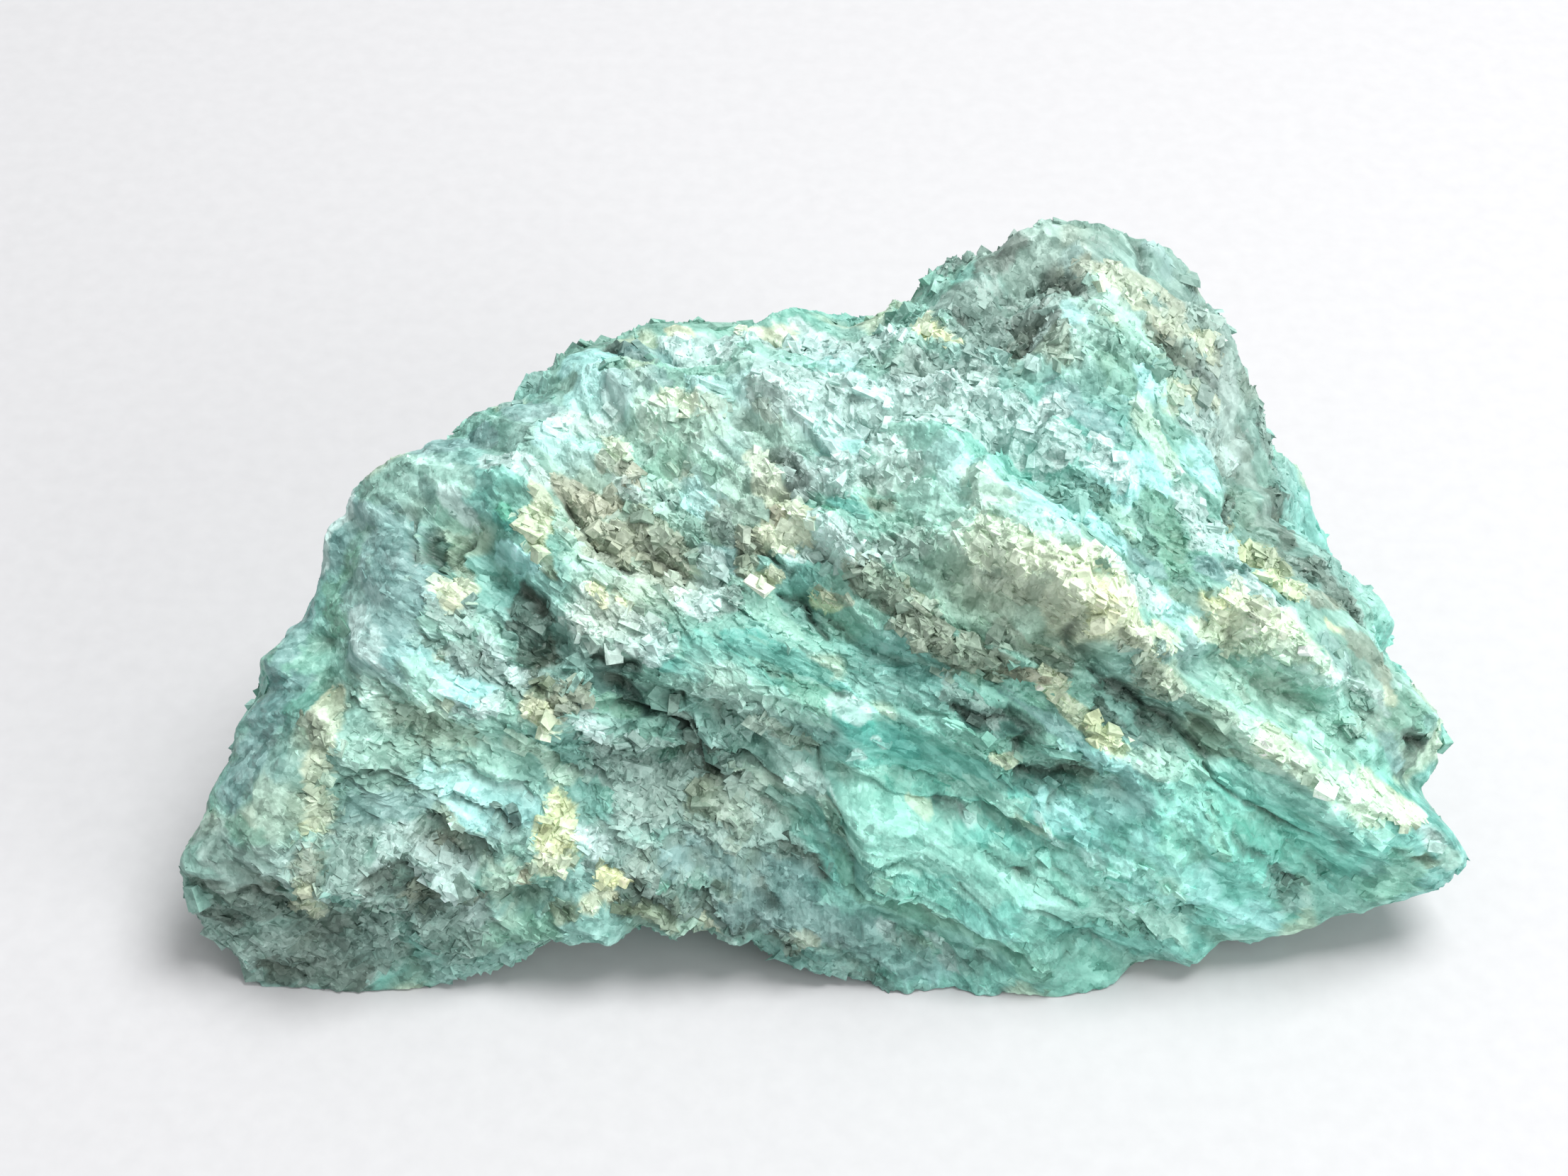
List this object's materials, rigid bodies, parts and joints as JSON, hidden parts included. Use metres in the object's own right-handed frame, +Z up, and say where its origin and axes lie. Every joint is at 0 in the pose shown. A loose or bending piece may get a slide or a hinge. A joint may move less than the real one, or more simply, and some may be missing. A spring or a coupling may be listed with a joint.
{
  "type": "raw amazonite stone",
  "caption": "Rough, broken piece of blue-green amazonite with a ledged front and a flat underside, to display or hold loose.",
  "frame": {"origin": "point in the flat resting face, below the middle of the stone", "axes": "+X along the stone towards its pointed end, -Y out of its broken front, +Z up"},
  "size_m": [0.0409, 0.0232, 0.018],
  "materials": {
    "amazonite": "rough broken blue-green feldspar with cream crusts and pale frosted crystal edges"
  },
  "bodies": {
    "root": {"amazonite_stone": "amazonite"}
  },
  "joints": []
}
